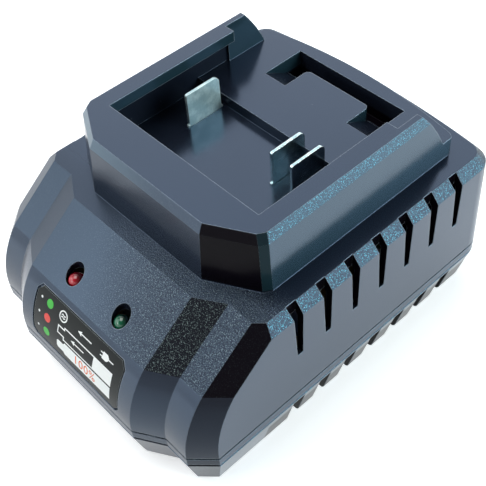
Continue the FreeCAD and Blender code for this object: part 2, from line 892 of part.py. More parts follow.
def make_filter_capacitor():
    half_l = filter_cap_length / 2.0
    half_w = filter_cap_width / 2.0
    case = box(filter_cap_x - half_l, filter_cap_x + half_l, filter_cap_y - half_w, filter_cap_y + half_w,
               board_top_z, board_top_z + filter_cap_height)
    upright = [e for e in case.Edges if abs(e.tangentAt(e.FirstParameter).z) > 0.9]
    return case.makeFillet(filter_cap_edge, upright)


def make_filter_choke():
    """Common-mode choke: two wound bobbins side by side on a rectangular core."""
    half_l = choke_length / 2.0
    half_w = choke_width / 2.0
    base = box(choke_x - half_l, choke_x + half_l, choke_y - half_w, choke_y + half_w,
               board_top_z, board_top_z + choke_base)
    radius = (choke_height - choke_base_gap) / 2.0
    axis_z = board_top_z + choke_height - radius
    pieces = [base]
    for side in (-1, 1):
        start = choke_x + (choke_bobbin_gap / 2.0 if side > 0 else -half_l)
        pieces.append(cylinder(radius, half_l - choke_bobbin_gap / 2.0, start, choke_y, axis_z, X_AXIS))
    pieces.append(cylinder(radius * choke_core_share, choke_length,
                           choke_x - half_l, choke_y, axis_z, X_AXIS))
    return join(pieces)


def make_bridge_rectifier():
    half_l = bridge_length / 2.0
    half_t = bridge_thickness / 2.0
    z0 = board_top_z + bridge_stand
    body = box(bridge_x - half_l, bridge_x + half_l, bridge_y - half_t, bridge_y + half_t,
               z0, z0 + bridge_height)
    lead_w = bridge_lead_width / 2.0
    lead_t = bridge_lead_thickness / 2.0
    pieces = [body]
    for place in (-1.5, -0.5, 0.5, 1.5):
        x = bridge_x + place * bridge_lead_pitch
        pieces.append(box(x - lead_w, x + lead_w, bridge_y - lead_t, bridge_y + lead_t,
                          board_top_z, z0 + lap))
    return join(pieces)


def make_heat_sink():
    """Extruded heat sink: a plate with vertical fins on its outer side."""
    y0 = sink_y - sink_length / 2.0
    plate = box(sink_x - sink_plate, sink_x, y0, y0 + sink_length, board_top_z, board_top_z + sink_height)
    pitch = (sink_length - sink_fin) / (sink_fin_count - 1)
    fins = []
    for index in range(sink_fin_count):
        y = y0 + index * pitch
        fins.append(box(sink_x - sink_plate - sink_fin_depth, sink_x - sink_plate + lap, y, y + sink_fin,
                        board_top_z, board_top_z + sink_height))
    return join([plate] + fins)


def power_package(y):
    """Power package on the heat sink: tab against the plate, moulded body, three leads."""
    z0 = board_top_z + package_lead
    half_w = package_width / 2.0
    tab = box(sink_x, sink_x + package_tab_thickness, y - half_w, y + half_w, z0, z0 + package_height)
    hole_z = z0 + package_height - package_hole_drop
    tab = tab.cut(cylinder(package_hole_radius, 2.0 * overcut, sink_x - overcut, y, hole_z, X_AXIS))
    body_top = z0 + package_height - package_tab_reach
    pieces = [tab, box(sink_x, sink_x + package_thickness, y - half_w, y + half_w, z0, body_top)]
    lead_x = sink_x + package_lead_face
    for place in (-1, 0, 1):
        lead_y = y + place * package_lead_pitch
        pieces.append(box(lead_x, lead_x + package_lead_thickness, lead_y - package_lead_width / 2.0,
                          lead_y + package_lead_width / 2.0, board_top_z, z0 + lap))
    return join(pieces)


def flat_package(length, width, height, x, y, pin_count):
    """Small moulded package with gull legs along both long sides."""
    body = box(x - length / 2.0, x + length / 2.0, y - width / 2.0, y + width / 2.0,
               board_top_z + chip_stand, board_top_z + chip_stand + height)
    pitch = length / pin_count
    legs = []
    for index in range(pin_count):
        leg_x = x - length / 2.0 + (index + 0.5) * pitch
        legs.append(box(leg_x - chip_leg_width / 2.0, leg_x + chip_leg_width / 2.0,
                        y - width / 2.0 - chip_leg_reach, y + width / 2.0 + chip_leg_reach,
                        board_top_z, board_top_z + chip_leg_height))
    return join([body] + legs)


def tube_along(points, radius, start_way):
    """Round wire along a smooth curve through the points, which ends straight down."""
    curve = Part.BSplineCurve()
    curve.interpolate(Points=[V(*p) for p in points], InitialTangent=start_way, FinalTangent=V(0, 0, -1))
    path = Part.Wire(curve.toShape())
    start = path.Edges[0].Curve.value(path.Edges[0].FirstParameter)
    tangent = path.Edges[0].tangentAt(path.Edges[0].FirstParameter)
    ring = Part.Wire(Part.makeCircle(radius, start, tangent))
    return path.makePipeShell([ring], True, False)


def make_output_wires():
    """Three wires from the solder tabs down to the board."""
    tab_z = ceiling_z - contact_block_height - blade_tail_reach - blade_tab_length
    solids = []
    for x in (negative_x, sense_x, positive_x):
        header_x = x * wire_header_share
        solids.append(tube_along([
            (x, blade_centre_y, tab_z),
            ((x + header_x) / 2.0, (blade_centre_y + wire_header_y) / 2.0, (tab_z + board_top_z) / 2.0),
            (header_x, wire_header_y, board_top_z),
        ], wire_radius, V(0, 0, -1)))
    return Part.makeCompound(solids)


def make_mains_wires():
    """Two wires from the inlet tails down to the board."""
    solids = []
    tail_y = inlet_front_y() - inlet_tail_length
    foot_y = board_rear_y - mains_wire_margin
    for side in (-1, 1):
        x = side * inlet_pin_spacing / 2.0
        solids.append(tube_along([
            (x, tail_y, parting_z), (x, foot_y, board_top_z),
        ], wire_radius, V(0, -1, 0)))
    return Part.makeCompound(solids)


def make_mains_inlet():
    """Figure-eight inlet body with its recessed mouth and pin holes."""
    y0 = inlet_front_y()
    y1 = rear_y - inlet_set_back
    half_w = inlet_width / 2.0
    half_h = inlet_height / 2.0
    body = box(-half_w, half_w, y0, y1, parting_z - half_h, parting_z + half_h)
    lengthwise = [e for e in body.Edges if abs(e.tangentAt(e.FirstParameter).y) > 0.9]
    body = body.makeFillet(inlet_body_edge, lengthwise)
    radius = inlet_mouth_height / 2.0
    reach = inlet_mouth_width / 2.0 - radius
    waist = radius * inlet_waist_share
    mouth_y = y1 - inlet_mouth_depth
    mouth = join([
        box(-reach, reach, mouth_y, y1 + short_overcut, parting_z - waist, parting_z + waist),
        cylinder(radius, inlet_mouth_depth + short_overcut, -reach, mouth_y, parting_z, Y_AXIS),
        cylinder(radius, inlet_mouth_depth + short_overcut, reach, mouth_y, parting_z, Y_AXIS),
    ])
    body = body.cut(mouth)
    for side in (-1, 1):
        hole = cylinder(inlet_tail_radius + glue_gap, inlet_depth + 2.0 * short_overcut,
                        side * inlet_pin_spacing / 2.0, y0 - short_overcut, parting_z, Y_AXIS)
        body = body.cut(hole)
    return body


def make_inlet_pins():
    tail_y = inlet_front_y() - inlet_tail_length
    foot_y = rear_y - inlet_set_back - inlet_mouth_depth
    tip_y = foot_y + inlet_pin_length
    solids = []
    for side in (-1, 1):
        x = side * inlet_pin_spacing / 2.0
        pin = cylinder(inlet_pin_radius, inlet_pin_length, x, foot_y, parting_z, Y_AXIS)
        tip = [e for e in pin.Edges if abs(e.CenterOfMass.y - tip_y) < 0.01 and len(e.Vertexes) == 1]
        pin = pin.makeChamfer(inlet_pin_radius * inlet_pin_tip_share, tip)
        tail = cylinder(inlet_tail_radius, foot_y - tail_y + lap, x, tail_y, parting_z, Y_AXIS)
        solids.append(join([pin, tail]))
    return Part.makeCompound(solids)


def screw(x, y, seat_z, up, shank_radius, shank_length, head_radius, head_height):
    """Pan-head screw with a cross recess; up is the direction that the shank points."""
    head = cylinder(head_radius, head_height, x, y, seat_z, V(0, 0, -up))
    rim = [e for e in head.Edges if abs(e.CenterOfMass.z - (seat_z - up * head_height)) < 0.01
           and len(e.Vertexes) == 1]
    head = head.makeFillet(head_height * screw_head_round_share, rim)
    shank = cylinder(shank_radius, shank_length, x, y, seat_z, V(0, 0, up))
    end = [e for e in shank.Edges if abs(e.CenterOfMass.z - (seat_z + up * shank_length)) < 0.01
           and len(e.Vertexes) == 1]
    shank = shank.makeChamfer(shank_radius * screw_tip_share, end)
    arm = head_radius * cross_reach_share
    half = cross_width / 2.0
    top = seat_z - up * head_height
    mouth_z = top - up * short_overcut
    bottom_z = top + up * head_height * cross_depth_share
    low = min(mouth_z, bottom_z)
    high = max(mouth_z, bottom_z)
    cross = box(x - arm, x + arm, y - half, y + half, low, high)
    cross = cross.fuse(box(x - half, x + half, y - arm, y + arm, low, high))
    return join([head, shank]).cut(cross)


def make_case_screws():
    seat_z = parting_z - screw_seat_below_parting
    length = screw_seat_below_parting + screw_bite
    return Part.makeCompound([
        screw(x, y, seat_z, 1, screw_shank_radius, length, screw_head_radius, screw_head_height)
        for x, y in pillar_places()])


def make_board_screws():
    return Part.makeCompound([
        screw(x, y, board_top_z, -1, board_screw_radius, board_screw_length, board_screw_head_radius,
              board_screw_head_height)
        for x, y in standoff_places()])


def make_rubber_feet():
    solids = []
    for x, y in foot_places():
        pad = cylinder(foot_radius, foot_height + foot_recess, x, y, 0.0)
        rim = [e for e in pad.Edges if abs(e.CenterOfMass.z) < 0.01 and len(e.Vertexes) == 1]
        solids.append(pad.makeFillet(foot_edge, rim))
    return Part.makeCompound(solids)


nodes = {
    "upper_housing": make_upper_housing(),
    "lower_housing": make_lower_housing(),
    "legend_panel": make_legend_panel(),
    "contact_block": make_contact_block(),
    "contact_negative": blade(negative_x),
    "contact_sense": blade(sense_x),
    "contact_positive": blade(positive_x),
    "lamp_red": make_lamp(-1),
    "lamp_green": make_lamp(1),
    "lamp_spacers": make_lamp_spacers(),
    "circuit_board": make_circuit_board(),
    "transformer_core": make_transformer_core(),
    "transformer_bobbin": make_transformer_bobbin(),
    "transformer_winding": make_transformer_winding(),
    "bulk_capacitor": capacitor(bulk_radius, bulk_height, bulk_x, bulk_y),
    "output_capacitor": capacitor(output_cap_radius, output_cap_height, output_cap_x, output_cap_y),
    "mains_fuse": make_mains_fuse(),
    "varistor": make_varistor(),
    "filter_capacitor": make_filter_capacitor(),
    "filter_choke": make_filter_choke(),
    "bridge_rectifier": make_bridge_rectifier(),
    "heat_sink": make_heat_sink(),
    "switching_transistor": power_package(sink_y + sink_length / 4.0),
    "output_diode": power_package(sink_y - sink_length / 4.0),
    "optocoupler": flat_package(optocoupler_length, optocoupler_width, optocoupler_height,
                                optocoupler_x, optocoupler_y, 2),
    "controller_chip": flat_package(chip_length, chip_width, chip_height, chip_x, chip_y, 7),
    "output_wires": make_output_wires(),
    "mains_wires": make_mains_wires(),
    "mains_inlet": make_mains_inlet(),
    "inlet_pins": make_inlet_pins(),
    "case_screws": make_case_screws(),
    "board_screws": make_board_screws(),
    "rubber_feet": make_rubber_feet(),
}

os.makedirs("parts", exist_ok=True)
for name, shape in nodes.items():
    shape.translate(V(0, -origin_y, 0))
    shape.exportStep("parts/" + name + ".step")
    span = shape.BoundBox
    print(name, "solids", len(shape.Solids), "valid", shape.isValid(), "volume", round(shape.Volume, 1),
          "x", round(span.XMin, 2), round(span.XMax, 2),
          "y", round(span.YMin, 2), round(span.YMax, 2),
          "z", round(span.ZMin, 2), round(span.ZMax, 2))
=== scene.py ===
import bmesh
import bpy
import math
from mathutils import Matrix, Vector


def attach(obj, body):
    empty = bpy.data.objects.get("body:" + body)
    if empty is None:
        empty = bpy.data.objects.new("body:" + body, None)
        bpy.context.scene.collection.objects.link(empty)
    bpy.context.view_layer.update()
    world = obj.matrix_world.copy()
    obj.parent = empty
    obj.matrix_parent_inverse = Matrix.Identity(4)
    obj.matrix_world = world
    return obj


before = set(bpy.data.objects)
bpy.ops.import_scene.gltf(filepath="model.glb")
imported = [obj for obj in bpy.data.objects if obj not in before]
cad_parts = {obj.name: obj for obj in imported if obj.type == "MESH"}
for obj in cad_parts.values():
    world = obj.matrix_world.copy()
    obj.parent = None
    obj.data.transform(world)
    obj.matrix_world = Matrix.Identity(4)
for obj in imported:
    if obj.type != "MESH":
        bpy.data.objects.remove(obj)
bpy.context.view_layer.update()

# Sizes of the charger, in metres, as the frame has them
MM = 0.001
FRONT_Y = -64.4 * MM
PARTING_Z = 18.3 * MM
PLATEAU_Z = 53.5 * MM
DOCK_TOP_Z = 72.4 * MM
DOCK_BEVEL_HEIGHT = 2.8 * MM
FRONT_ARC_RADIUS = 31.533 * MM
LEGEND_SET_BACK = 0.15 * MM


# Shader arithmetic

class Signal:
    """One socket of a material's node, which can be used in plain sums."""

    def __init__(self, finish, socket):
        self.finish = finish
        self.socket = socket

    def math(self, operation, *values):
        sockets = dict(enumerate(values))
        return self.finish.node("ShaderNodeMath", {"operation": operation}, sockets).out()

    def __abs__(self):
        return self.math("ABSOLUTE", self)

    def sine(self):
        return self.math("SINE", self)

    def square_root(self):
        return self.math("SQRT", self)

    def __add__(self, other):
        return self.math("ADD", self, other)

    def __radd__(self, other):
        return self.math("ADD", other, self)

    def __sub__(self, other):
        return self.math("SUBTRACT", self, other)

    def __rsub__(self, other):
        return self.math("SUBTRACT", other, self)

    def __mul__(self, other):
        return self.math("MULTIPLY", self, other)

    def __rmul__(self, other):
        return self.math("MULTIPLY", other, self)

    def __gt__(self, edge):
        return self.math("GREATER_THAN", self, edge)

    def __lt__(self, edge):
        return self.math("LESS_THAN", self, edge)

    def either(self, other):
        return self.math("MAXIMUM", self, other)

    def rise(self, low, high):
        """0 below the first value, 1 above the second, smooth between them."""
        settings = {"interpolation_type": "SMOOTHSTEP"}
        sockets = {"Value": self, "From Min": low, "From Max": high}
        return self.finish.node("ShaderNodeMapRange", settings, sockets).out()


class Made:
    """A node that has been made, with its outputs as signals."""

    def __init__(self, finish, node):
        self.finish = finish
        self.node = node

    def out(self, name=0):
        return Signal(self.finish, self.node.outputs[name])


class Finish:
    """A material built from nodes, on the object's own coordinates."""

    def __init__(self, name, tree=None):
        if tree is None:
            self.material = bpy.data.materials.new(name)
            self.material.use_nodes = True
            tree = self.material.node_tree
        self.tree = tree
        tree.nodes.clear()

    def node(self, kind, settings=None, sockets=None):
        """Makes a node: its settings first, then values or links for its input sockets."""
        node = self.tree.nodes.new(kind)
        for name, value in (settings or {}).items():
            setattr(node, name, value)
        for name, value in (sockets or {}).items():
            if isinstance(value, Signal):
                self.tree.links.new(value.socket, node.inputs[name])
            else:
                node.inputs[name].default_value = value
        return Made(self, node)

    def place(self):
        return self.node("ShaderNodeTexCoord").out("Object")

    def facing(self):
        return self.node("ShaderNodeTexCoord").out("Normal")

    def axes(self, vector):
        split = self.node("ShaderNodeSeparateXYZ", None, {0: vector})
        return split.out(0), split.out(1), split.out(2)

    def stretched(self, scale):
        return self.node("ShaderNodeMapping", None, {"Vector": self.place(), "Scale": scale}).out()

    def noise(self, size, detail=2.0, roughness=0.5, vector=None):
        """Noise whose blotches are about the given size, in metres."""
        sockets = {"Vector": vector or self.place(), "Scale": 1.0 / size}
        sockets.update({"Detail": detail, "Roughness": roughness})
        return self.node("ShaderNodeTexNoise", None, sockets).out("Fac")

    def cells(self, size):
        return self.node("ShaderNodeTexVoronoi", None, {"Vector": self.place(), "Scale": 1.0 / size})

    def blend(self, mask, first, second):
        settings = {"data_type": "RGBA"}
        return self.node("ShaderNodeMix", settings, {0: mask, 6: first, 7: second}).out(2)

    def rounded(self, radius, samples=6):
        """Normals rounded over the edges, as a real edge has them."""
        return self.node("ShaderNodeBevel", {"samples": samples}, {"Radius": radius}).out()

    def edge(self, rounded):
        """0 on flat faces and up to 1 along edges."""
        true_normal = self.node("ShaderNodeNewGeometry").out("True Normal")
        vectors = {0: rounded, 1: true_normal}
        product = self.node("ShaderNodeVectorMath", {"operation": "DOT_PRODUCT"}, vectors)
        return (1.0 - product.out("Value")).rise(0.004, 0.07)

    def convex(self, reach):
        """0 in inner corners and on flat faces, up to 1 along outer edges, where the far side is near."""
        settings = {"samples": 4, "inside": True, "only_local": True}
        near = self.node("ShaderNodeAmbientOcclusion", settings, {"Distance": reach}).out("AO")
        return (1.0 - near).rise(0.01, 0.12)

    def bump(self, height, distance, strength=1.0, normal=None):
        sockets = {"Height": height, "Distance": distance, "Strength": strength}
        if normal is not None:
            sockets["Normal"] = normal
        return self.node("ShaderNodeBump", None, sockets).out()

    def principled(self, **sockets):
        """A Principled shader, with spaces in the socket names as underscores."""
        named = {name.replace("_", " "): value for name, value in sockets.items()}
        named = {name.replace("Ior", "IOR"): value for name, value in named.items()}
        return self.node("ShaderNodeBsdfPrincipled", None, named).out()

    def output(self, shader):
        self.node("ShaderNodeOutputMaterial", None, {"Surface": shader})
        return self.material

    def surface(self, **sockets):
        return self.output(self.principled(**sockets))


def tone(red, green, blue):
    return (red, green, blue, 1.0)


# Finishes

# Limits that part the moulding's faces for its painted shade, each a little clear of the faces themselves
UNDER_LIP_X = -35.0 * MM
WELL_HALF_WIDTH = 44.5 * MM
VENT_HALF_WIDTH = 48.6 * MM
HOLLOW_FRONT_Y = -34.0 * MM
HOLLOW_REAR_Y = 60.0 * MM


def hollow_walls(f):
    """Walls inside the housing: its well, and the sides and ends of the vents."""
    x, y, z = f.axes(f.place())
    nx, ny, nz = f.axes(f.facing())
    well = (abs(x) < WELL_HALF_WIDTH) * (z < PLATEAU_Z - 2.0 * MM)
    vent_end = (abs(nx) > 0.9) * (abs(x) < VENT_HALF_WIDTH)
    vent_walls = (abs(ny) > 0.8).either(vent_end) * (z < PLATEAU_Z - 0.2 * MM)
    return well.either(vent_walls) * (y > HOLLOW_FRONT_Y) * (y < HOLLOW_REAR_Y)


def moulded_plastic(name):
    """Black moulding: spark texture on the slopes, ledge and bevels, satin elsewhere."""
    f = Finish(name)
    x, y, z = f.axes(f.place())
    nx, ny, nz = f.axes(f.facing())
    # Painted shade on the walls inside the housing: the well and the vents
    hollow_shade = hollow_walls(f)

    # Where the dock, its bevel and the faces below the front's crease are
    above = z > PLATEAU_Z + 0.4 * MM
    on_bevel = (z > DOCK_TOP_Z - DOCK_BEVEL_HEIGHT - 0.1 * MM) * (nz < 0.97) * (nz > 0.1)
    front = ny < -0.1
    below_crease = (nz * 0.8 + ny) < 0.0

    # Painted shade, where faces mirror less: the right corner, the front wall, under the left lip and inside
    # the left lip
    turned = nx + (0.9 - 0.45 * above) * ny
    low_corner = (1.0 - above) * below_crease * (1.0 - nz)
    corner_shade = turned.rise(-0.40, -0.12) * front * (1.0 - 0.33 * low_corner)
    front_wall_shade = (0.0 - ny) * (1.0 - nz) * front * 0.4
    under_lip_shade = above * (nx > 0.9) * (x < UNDER_LIP_X)
    lip_shade = (above * (nx > 0.9) * (x < 0.0) * 0.45).either(under_lip_shade)

    # Spark texture, strong on the right and faint on the left, with painted glints and painted shade in its
    # dips
    rear_ledge = (nz > 0.98) * y.rise(-36.0 * MM, -16.0 * MM)
    slopes = (1.0 - above) * nz.rise(0.06, 0.30) * (1.0 - rear_ledge) * (1.0 - below_crease)
    sparked = slopes.either(on_bevel)
    to_the_right = 0.10 + 0.90 * (x + 0.5 * y).rise(-40.0 * MM, 2.0 * MM)
    coarse = sparked * to_the_right * (1.0 - 0.94 * (turned > -0.02) * front)
    coarse = coarse * (1.0 - 0.8 * on_bevel * front)
    front_bevel_highlight = on_bevel * (ny < -0.3) * (1.0 - x.rise(-35.0 * MM, 15.0 * MM))
    side_slope = sparked * nx.rise(0.55, 0.72)
    grain = f.noise(0.42 * MM, 2.0, 0.6)
    pebbles = f.noise(0.28 * MM, 2.0, 0.5)
    cloud = f.noise(22.0 * MM, 3.0, 0.5)
    fine = f.noise(0.16 * MM, 2.0, 0.5)
    # Painted shade in the dips of the texture, which mirror less
    pit_shade = (1.0 - pebbles.rise(0.40, 0.60)) * coarse * (0.65 - 0.45 * side_slope)
    height = grain * (0.02 + 0.98 * coarse) + fine * 0.02
    rounded = f.rounded(0.35 * MM)
    edge = f.edge(rounded) * f.convex(0.5 * MM)
    normal = f.bump(height, 0.30 * MM, 1.0, rounded)

    # Colour: black with a blue cast, then painted shade, painted blue-green light, a painted highlight on
    # the front bevel, painted glints on the spark texture, dust and painted highlights on the edges
    base = f.blend(cloud, tone(0.006, 0.008, 0.015), tone(0.012, 0.016, 0.026))
    # Painted shade: the right corner and the walls inside the housing go near black
    base = f.blend(corner_shade.either(hollow_shade), base, tone(0.003, 0.002, 0.004))
    # Painted blue-green light on the dock's walls that face right
    painted_teal_light = above * nx.rise(0.5, 0.9) * 0.4 * (1.0 - under_lip_shade)
    base = f.blend(painted_teal_light, base, tone(0.02, 0.06, 0.075))
    # Painted highlight on the left part of the dock's front bevel
    base = f.blend(front_bevel_highlight * 0.8, base, tone(0.12, 0.17, 0.20))
    # Painted glints on the spark texture, cyan on the side slopes
    spark_glint_tone = f.blend(side_slope, tone(0.24, 0.31, 0.30), tone(0.14, 0.60, 0.74))
    spark_glints = pebbles.rise(0.57, 0.68) * coarse
    base = f.blend(spark_glints * (0.75 + 0.25 * side_slope), base, spark_glint_tone)
    dust = f.cells(5.0 * MM)
    keep = f.axes(dust.out("Color"))[0] > 0.72
    specks = (dust.out("Distance") < 0.022) * keep
    base = f.blend(specks * 0.5, base, tone(0.34, 0.36, 0.38))
    # Painted highlight along the outer edges
    base = f.blend(edge * 0.8, base, tone(0.26, 0.30, 0.34))

    # Gloss: a bright shader and a shaded copy of it that mirrors less, mixed by the painted shade
    roughness = 0.15 + cloud * 0.06 + sparked * 0.16 + specks * 0.3
    bright = f.principled(Base_Color=base, Roughness=roughness, Normal=normal, Ior=1.78,
                          Specular_IOR_Level=0.6, Specular_Tint=tone(0.52, 0.71, 1.0))
    shaded_copy = f.principled(Base_Color=base, Roughness=roughness, Normal=normal, Ior=1.45,
                        Specular_IOR_Level=0.07)
    # Painted shade on the slopes, more on the left
    slope_shade = slopes * (0.28 - 0.16 * x.rise(-40.0 * MM, 0.0))
    shaded = corner_shade.either(front_wall_shade).either(hollow_shade).either(lip_shade)
    shaded = shaded.either(pit_shade).either(slope_shade)
    return f.output(f.node("ShaderNodeMixShader", None, {0: shaded, 1: bright, 2: shaded_copy}).out())


def legend_film(name):
    """Printed charcoal film, satin, with a faint grain."""
    f = Finish(name)
    cloud = f.noise(14.0 * MM, 2.0)
    grain = f.noise(0.3 * MM, 2.0)
    base = f.blend(cloud, tone(0.009, 0.011, 0.011), tone(0.016, 0.019, 0.019))
    rounded = f.rounded(0.22 * MM)
    # Painted highlight along the film's edges
    base = f.blend(f.edge(rounded) * 0.9, base, tone(0.30, 0.33, 0.33))
    normal = f.bump(grain, 0.01 * MM, 0.5, rounded)
    return f.surface(Base_Color=base, Roughness=0.32 + grain * 0.12, Normal=normal, Specular_IOR_Level=0.14)


def ink(name, first, second, roughness=0.45):
    """Screen-printed ink with slightly uneven cover."""
    f = Finish(name)
    cover = f.noise(0.9 * MM, 3.0, 0.6)
    base = f.blend(cover, tone(*first), tone(*second))
    normal = f.bump(cover, 0.01 * MM, 0.4)
    return f.surface(Base_Color=base, Roughness=roughness + cover * 0.1, Normal=normal)


def plated_blade(name, dullness, plating):
    """Nickel-plated strip: stamped, with streaks along its height, tarnish and a painted highlight along its
    edges.
    """
    f = Finish(name)
    streaks = f.noise(0.5 * MM, 3.0, 0.6, f.stretched((1.0, 1.0, 0.12)))
    stains = f.noise(3.2 * MM, 3.0, 0.6)
    rounded = f.rounded(0.22 * MM)
    edge = f.edge(rounded)
    base = f.blend(stains.rise(0.35, 0.75), tone(0.50, 0.68, 0.70), tone(0.80, 0.95, 0.95))
    base = f.blend(streaks.rise(0.55, 0.8) * 0.35, base, tone(0.42, 0.48, 0.47))
    # Painted highlight along the edges
    base = f.blend(edge * 0.8, base, tone(0.95, 0.96, 0.95))
    roughness = dullness + stains * 0.14 + streaks * 0.06
    metallic = plating - stains.rise(0.6, 0.9) * 0.15
    normal = f.bump(streaks, 0.02 * MM, 0.6, rounded)
    return f.surface(Base_Color=base, Metallic=metallic, Roughness=roughness, Normal=normal)


def lens(name, deep, bright):
    """Tinted epoxy of a lamp: nearly black up in its hole, brighter on the side that the light reaches."""
    f = Finish(name)
    nx, ny, nz = f.axes(f.facing())
    cloud = f.noise(1.6 * MM, 2.0)
    lit = (nz * 0.35 - ny * 0.9).rise(0.0, 0.95) * (0.75 + 0.5 * cloud)
    base = f.blend(lit, tone(*deep), tone(*bright))
    return f.surface(Base_Color=base, Roughness=0.06 + cloud * 0.04, Ior=1.5, Specular_IOR_Level=0.7)


def plain_moulding(name, first, second, roughness=0.5, size=1.2 * MM, metallic=0.0):
    """A moulded, potted or drawn piece: two near tones, a fine grain and a slight painted highlight along
    the edges.
    """
    f = Finish(name)
    patch = f.noise(size * 6.0, 3.0)
    grain = f.noise(size * 0.3, 2.0)
    rounded = f.rounded(0.2 * MM, 4)
    base = f.blend(patch, tone(*first), tone(*second))
    # Painted highlight along the edges
    highlight_tone = tone(*[min(1.0, c * 1.5 + 0.03) for c in second])
    base = f.blend(f.edge(rounded) * 0.5, base, highlight_tone)
    normal = f.bump(grain, 0.03 * MM, 0.6, rounded)
    return f.surface(Base_Color=base, Metallic=metallic, Roughness=roughness + grain * 0.15, Normal=normal)


TURN_SPACING = 0.7 * MM


def turned_wire(name, first, second):
    """Lacquered copper turns, as ridges round the coil's axis."""
    f = Finish(name)
    across = f.axes(f.place())[0]
    turns = (across * (2.0 * math.pi / TURN_SPACING)).sine()
    # Darker in the grooves between the turns and paler on their crests: painted shade and painted highlight
    base = f.blend(turns.rise(-1.0, 1.0), tone(*first), tone(*second))
    normal = f.bump(turns, 0.15 * MM, 0.8)
    return f.surface(Base_Color=base, Metallic=0.8, Roughness=0.3 + f.noise(2.0 * MM) * 0.1, Normal=normal)


black = moulded_plastic("black_moulding")
film = legend_film("legend_film_charcoal")
nickel = plated_blade("nickel_dull", 0.36, 0.8)
polished_nickel = plated_blade("nickel_polished", 0.10, 1.0)
insulator = plain_moulding("black_insulator", (0.018, 0.018, 0.02), (0.035, 0.035, 0.038))
chip_epoxy = plain_moulding("black_epoxy", (0.02, 0.02, 0.022), (0.05, 0.05, 0.052), 0.6)
zinc = plain_moulding("zinc_plate", (0.55, 0.56, 0.55), (0.75, 0.76, 0.78), 0.3, 0.8 * MM, 1.0)
finishes = {
    "upper_housing": black,
    "lower_housing": black,
    "legend_panel": film,
    "contact_block": insulator,
    "contact_negative": nickel,
    "contact_sense": polished_nickel,
    "contact_positive": polished_nickel,
    "lamp_red": lens("red_lens_epoxy", (0.05, 0.0, 0.002), (0.46, 0.010, 0.022)),
    "lamp_green": lens("green_lens_epoxy", (0.0, 0.005, 0.003), (0.006, 0.13, 0.06)),
    "lamp_spacers": insulator,
    "circuit_board": plain_moulding("tan_laminate", (0.42, 0.30, 0.13), (0.55, 0.42, 0.20), 0.45),
    "transformer_core": plain_moulding("grey_ferrite", (0.06, 0.06, 0.065), (0.11, 0.11, 0.115), 0.55),
    "transformer_bobbin": insulator,
    "transformer_winding": plain_moulding("yellow_tape", (0.62, 0.46, 0.06), (0.80, 0.66, 0.14), 0.25),
    "bulk_capacitor": plain_moulding("navy_sleeve", (0.02, 0.035, 0.10), (0.05, 0.08, 0.18), 0.25),
    "output_capacitor": plain_moulding("black_sleeve", (0.02, 0.02, 0.03), (0.05, 0.05, 0.06), 0.25),
    "mains_fuse": plain_moulding("white_ceramic", (0.66, 0.64, 0.56), (0.82, 0.80, 0.72), 0.35),
    "varistor": plain_moulding("blue_epoxy", (0.03, 0.11, 0.38), (0.06, 0.18, 0.55), 0.3),
    "filter_capacitor": plain_moulding("yellow_case", (0.72, 0.48, 0.04), (0.88, 0.64, 0.08), 0.4),
    "filter_choke": turned_wire("copper_turns", (0.35, 0.12, 0.04), (0.80, 0.38, 0.16)),
    "bridge_rectifier": chip_epoxy,
    "heat_sink": plain_moulding("plain_aluminium", (0.62, 0.63, 0.65), (0.78, 0.79, 0.80), 0.3,
                                1.5 * MM, 1.0),
    "switching_transistor": chip_epoxy,
    "output_diode": chip_epoxy,
    "optocoupler": chip_epoxy,
    "controller_chip": chip_epoxy,
    "output_wires": plain_moulding("red_wire_cover", (0.32, 0.02, 0.02), (0.48, 0.04, 0.03), 0.4),
    "mains_wires": plain_moulding("brown_wire_cover", (0.16, 0.06, 0.03), (0.24, 0.10, 0.05), 0.4),
    "mains_inlet": insulator,
    "inlet_pins": nickel,
    "case_screws": zinc,
    "board_screws": zinc,
    "rubber_feet": plain_moulding("foot_rubber", (0.018, 0.018, 0.018), (0.04, 0.04, 0.04), 0.75),
}
for node, material in finishes.items():
    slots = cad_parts[node].data.materials
    slots.clear()
    slots.append(material)


# Legend graphics, drawn flat as (across, up the wall) in millimetres, then laid on the curved front wall

INK_THICKNESS = 0.04
INK_SUNK = 0.01
LEGEND_LOW = 3.0
LEGEND_HIGH = 20.0
FOLD_STEP = 0.8


def wall_point(across, up, proud):
    """Place on the film, from millimetres across, up along the wall and out of it."""
    turn = up * MM / FRONT_ARC_RADIUS
    radius = FRONT_ARC_RADIUS - LEGEND_SET_BACK + proud * MM
    return Vector((across * MM, FRONT_Y + FRONT_ARC_RADIUS - radius * math.cos(turn),
                   PARTING_Z + radius * math.sin(turn)))


def lay_on_wall(name, bm, material):
    """Gives a flat drawing its ink thickness, follows the wall's curve and makes it a piece."""
    faces = bm.faces[:]
    lifted = bmesh.ops.extrude_face_region(bm, geom=faces)
    top = [g for g in lifted["geom"] if isinstance(g, bmesh.types.BMVert)]
    bmesh.ops.translate(bm, vec=(0.0, 0.0, INK_THICKNESS), verts=top)
    level = LEGEND_LOW
    while level < LEGEND_HIGH:
        geometry = bm.verts[:] + bm.edges[:] + bm.faces[:]
        bmesh.ops.bisect_plane(bm, geom=geometry, plane_co=(0.0, level, 0.0), plane_no=(0.0, 1.0, 0.0))
        level += FOLD_STEP
    for vert in bm.verts:
        vert.co = wall_point(vert.co.x, vert.co.y, vert.co.z - INK_SUNK)
    bmesh.ops.triangulate(bm, faces=bm.faces[:])
    bmesh.ops.recalc_face_normals(bm, faces=bm.faces[:])
    mesh = bpy.data.meshes.new(name)
    bm.to_mesh(mesh)
    bm.free()
    piece = bpy.data.objects.new(name, mesh)
    bpy.context.scene.collection.objects.link(piece)
    mesh.materials.append(material)
    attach(piece, "root")
    return piece


